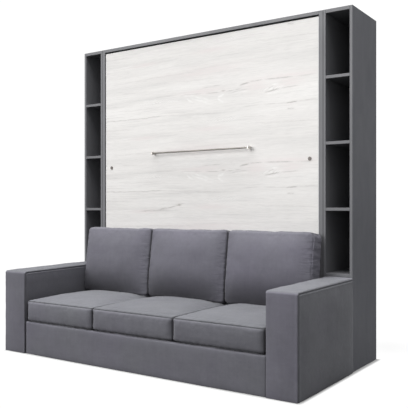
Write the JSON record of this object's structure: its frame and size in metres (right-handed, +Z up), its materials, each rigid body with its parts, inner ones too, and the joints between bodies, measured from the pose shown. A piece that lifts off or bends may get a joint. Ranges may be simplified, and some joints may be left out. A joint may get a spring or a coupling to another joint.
{
  "type": "wall bed with sofa",
  "caption": "Vertical folding wall bed in a slim cabinet flanked by open bookcases, with a boxy upholstered sofa in front whose loose back cushions lie down under the opened bed.",
  "frame": {"origin": "on the floor, in the middle of the footprint", "axes": "+X along the wall to the viewer's right, +Y into the wall, +Z up; the cabinet's front plane is at y = 0.165 and its back at y = 0.575"},
  "size_m": [2.19, 1.15, 2.17],
  "materials": {
    "anthracite_laminate": "matt melamine laminate on chipboard",
    "white_wood_laminate": "matt white-washed wood laminate",
    "timber": "planed beech and spruce",
    "deck_board": "raw particle board",
    "sofa_fabric": "dark grey brushed microfibre",
    "mattress_fabric": "off-white knitted ticking",
    "black_steel": "black powder coat",
    "dark_steel": "satin",
    "bright_steel": "polished",
    "zinc_plated_steel": "zinc plated"
  },
  "bodies": {
    "cabinet_and_sofa": {"case_side_left": "anthracite_laminate", "case_side_right": "anthracite_laminate", "case_top": "anthracite_laminate", "case_front_panel": "anthracite_laminate", "case_wall_rail": "anthracite_laminate", "case_floor_rail": "anthracite_laminate", "bookcase_inner_side_left": "anthracite_laminate", "bookcase_outer_side_left": "anthracite_laminate", "bookcase_top_left": "anthracite_laminate", "bookcase_bottom_left": "anthracite_laminate", "bookcase_back_left": "anthracite_laminate", "shelf_1_left": "anthracite_laminate", "shelf_2_left": "anthracite_laminate", "shelf_3_left": "anthracite_laminate", "shelf_4_left": "anthracite_laminate", "bookcase_inner_side_right": "anthracite_laminate", "bookcase_outer_side_right": "anthracite_laminate", "bookcase_top_right": "anthracite_laminate", "bookcase_bottom_right": "anthracite_laminate", "bookcase_back_right": "anthracite_laminate", "shelf_1_right": "anthracite_laminate", "shelf_2_right": "anthracite_laminate", "shelf_3_right": "anthracite_laminate", "shelf_4_right": "anthracite_laminate", "hinge_plate_left": "zinc_plated_steel", "hinge_plate_right": "zinc_plated_steel", "sofa_arm_left": "sofa_fabric", "sofa_arm_right": "sofa_fabric", "sofa_front_board": "sofa_fabric", "sofa_deck": "deck_board", "sofa_rear_rail": "timber", "seat_cushion_left": "sofa_fabric", "seat_cushion_centre": "sofa_fabric", "seat_cushion_right": "sofa_fabric"},
    "bed": {"bed_panel": "white_wood_laminate", "bed_rail_left": "black_steel", "bed_rail_right": "black_steel", "bed_foot_rail": "black_steel", "mattress_stop": "timber", "slat_base": "timber", "mattress": "mattress_fabric", "handle_bar": "dark_steel", "handle_post_left": "dark_steel", "handle_post_right": "dark_steel", "rail_bolt_cap_left": "dark_steel", "rail_bolt_cap_right": "dark_steel", "bed_hinge_arm_left": "black_steel", "bed_hinge_arm_right": "black_steel", "leg_bracket_left": "black_steel", "leg_bracket_right": "black_steel"},
    "gas_cylinder_l": {"gas_cylinder_left": "black_steel"},
    "gas_cylinder_r": {"gas_cylinder_right": "black_steel"},
    "gas_rod_l": {"gas_rod_left": "bright_steel"},
    "gas_rod_r": {"gas_rod_right": "bright_steel"},
    "leg_l": {"swing_leg_left": "black_steel"},
    "leg_r": {"swing_leg_right": "black_steel"},
    "cushion_l": {"back_cushion_left": "sofa_fabric"},
    "cushion_c": {"back_cushion_centre": "sofa_fabric"},
    "cushion_r": {"back_cushion_right": "sofa_fabric"}
  },
  "joints": [
    {"name": "bed_pivot", "type": "hinge", "parent": "cabinet_and_sofa", "child": "bed", "pos_m": [0, 0.165, 0.47], "axis": [1, 0, 0], "range_deg": [0, 90], "stiffness_Nm_per_rad": 500},
    {"name": "gas_cylinder_l_pivot", "type": "hinge", "parent": "cabinet_and_sofa", "child": "gas_cylinder_l", "pos_m": [-0.848, 0.265, 0.95], "axis": [1, 0, 0], "range_deg": [0, 7.5]},
    {"name": "gas_cylinder_r_pivot", "type": "hinge", "parent": "cabinet_and_sofa", "child": "gas_cylinder_r", "pos_m": [0.848, 0.265, 0.95], "axis": [1, 0, 0], "range_deg": [0, 7.5]},
    {"name": "gas_rod_l_slide", "type": "slide", "parent": "gas_cylinder_l", "child": "gas_rod_l", "axis": [0, 0.099, 0.9951], "range_m": [0, 0.157]},
    {"name": "gas_rod_r_slide", "type": "slide", "parent": "gas_cylinder_r", "child": "gas_rod_r", "axis": [0, 0.099, 0.9951], "range_m": [0, 0.157]},
    {"name": "leg_l_pivot", "type": "hinge", "parent": "bed", "child": "leg_l", "pos_m": [-0.841, 0.285, 2.08], "axis": [1, 0, 0], "range_deg": [0, 270]},
    {"name": "leg_r_pivot", "type": "hinge", "parent": "bed", "child": "leg_r", "pos_m": [0.841, 0.285, 2.08], "axis": [1, 0, 0], "range_deg": [0, 270]},
    {"name": "cushion_l_tip", "type": "hinge", "parent": "cabinet_and_sofa", "child": "cushion_l", "pos_m": [-0.60825, -0.03, 0.36], "axis": [1, 0, 0], "range_deg": [0, 98]},
    {"name": "cushion_c_tip", "type": "hinge", "parent": "cabinet_and_sofa", "child": "cushion_c", "pos_m": [0, -0.03, 0.36], "axis": [1, 0, 0], "range_deg": [0, 98]},
    {"name": "cushion_r_tip", "type": "hinge", "parent": "cabinet_and_sofa", "child": "cushion_r", "pos_m": [0.60825, -0.03, 0.36], "axis": [1, 0, 0], "range_deg": [0, 98]}
  ],
  "couplings": [
    {"joint": "gas_cylinder_l_pivot", "follows": "bed_pivot", "ratio": 0.081617},
    {"joint": "gas_cylinder_r_pivot", "follows": "bed_pivot", "ratio": 0.081617},
    {"joint": "gas_rod_l_slide", "follows": "bed_pivot", "m_per_rad": 0.09966},
    {"joint": "gas_rod_r_slide", "follows": "bed_pivot", "m_per_rad": 0.09966},
    {"joint": "leg_l_pivot", "follows": "bed_pivot", "ratio": 3},
    {"joint": "leg_r_pivot", "follows": "bed_pivot", "ratio": 3},
    {"joint": "cushion_l_tip", "follows": "bed_pivot", "ratio": 1.0888},
    {"joint": "cushion_c_tip", "follows": "bed_pivot", "ratio": 1.0888},
    {"joint": "cushion_r_tip", "follows": "bed_pivot", "ratio": 1.0888}
  ]
}
